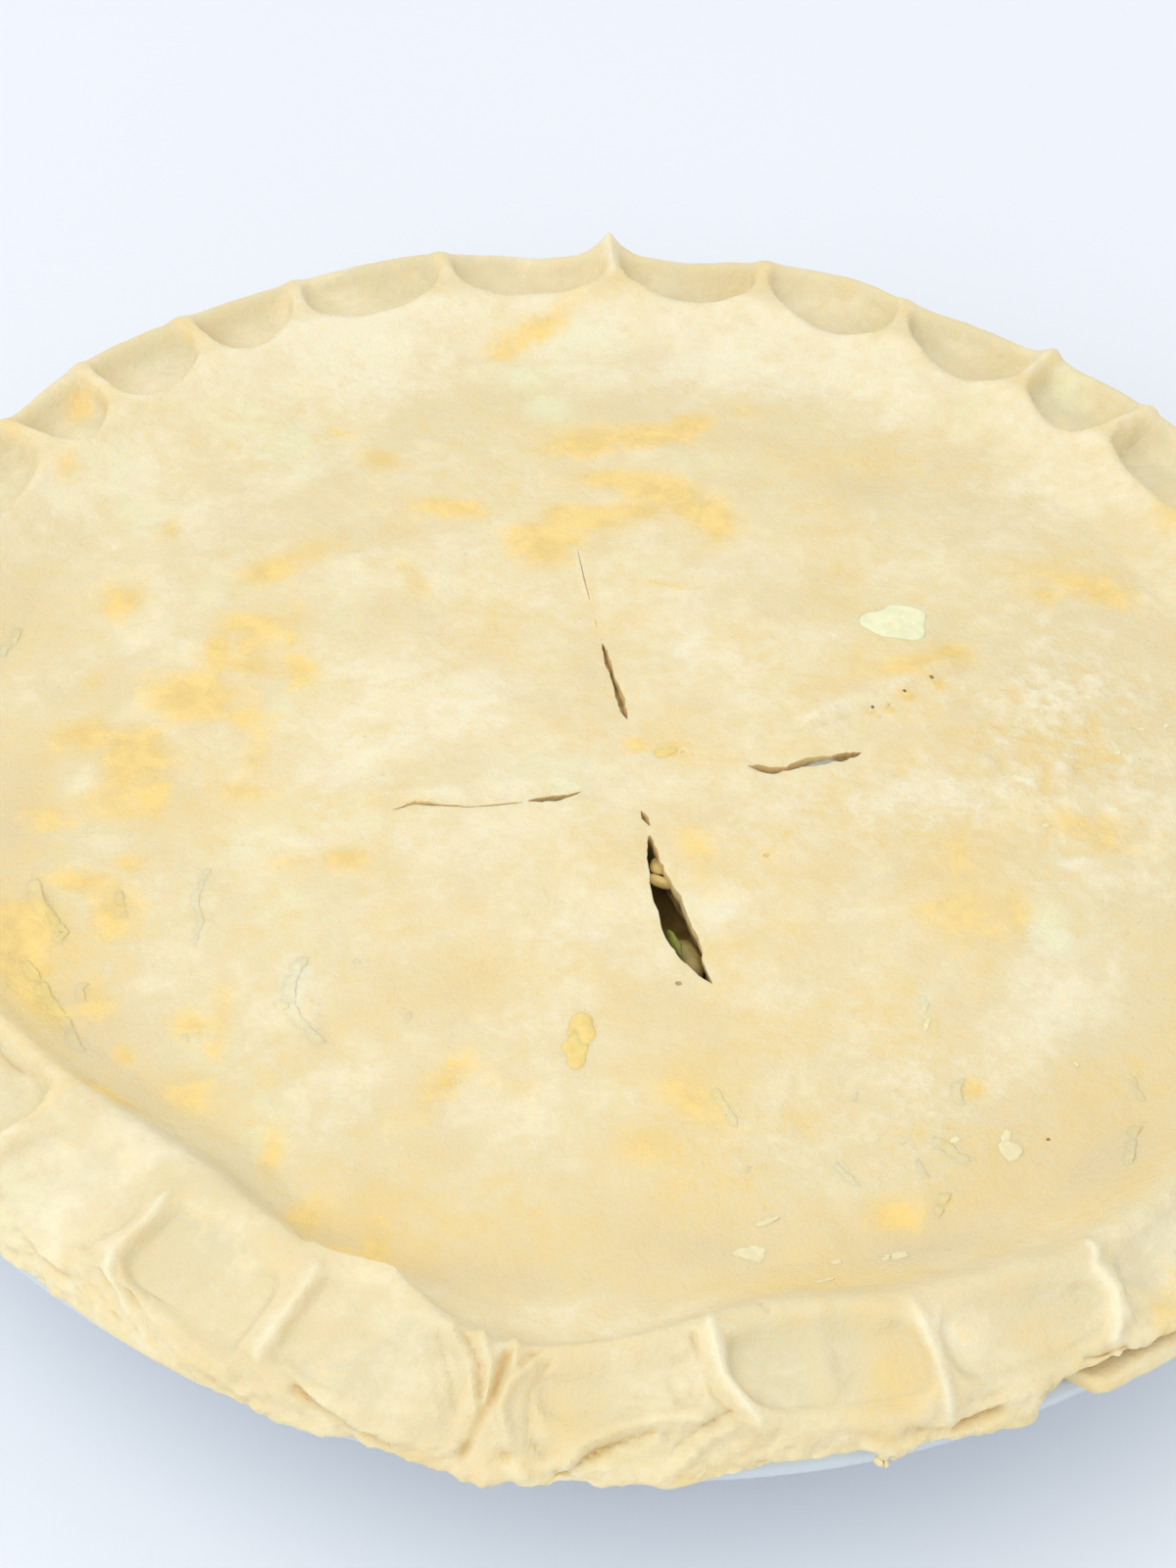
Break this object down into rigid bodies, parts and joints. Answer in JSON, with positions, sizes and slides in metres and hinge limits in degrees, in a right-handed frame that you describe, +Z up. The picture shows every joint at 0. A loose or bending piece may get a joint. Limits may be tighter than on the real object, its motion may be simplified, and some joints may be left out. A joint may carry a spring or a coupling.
{
  "type": "chicken pot pie",
  "caption": "Round unbaked double-crust chicken pot pie in a white ceramic pie dish, with a thumb-fluted rim and a slit vent in the shape of a cross.",
  "frame": {"origin": "centre of the flat plane under the dish's foot, which the pie rests on", "axes": "+Z up through the middle of the lid; the vent's front slit points mostly along -Y, turned 15.9 degrees anticlockwise seen from above"},
  "size_m": [0.25, 0.2501, 0.0496],
  "materials": {
    "dish_glaze": "glossy white glaze",
    "lid_dough": "matt raw shortcrust dough with butter patches",
    "lining_dough": "matt raw shortcrust dough",
    "stew": "moist creamy stew with peas, carrot and chicken"
  },
  "bodies": {
    "root": {"pie_dish": "dish_glaze", "bottom_crust": "lining_dough", "filling": "stew", "top_crust": "lid_dough"}
  },
  "joints": []
}
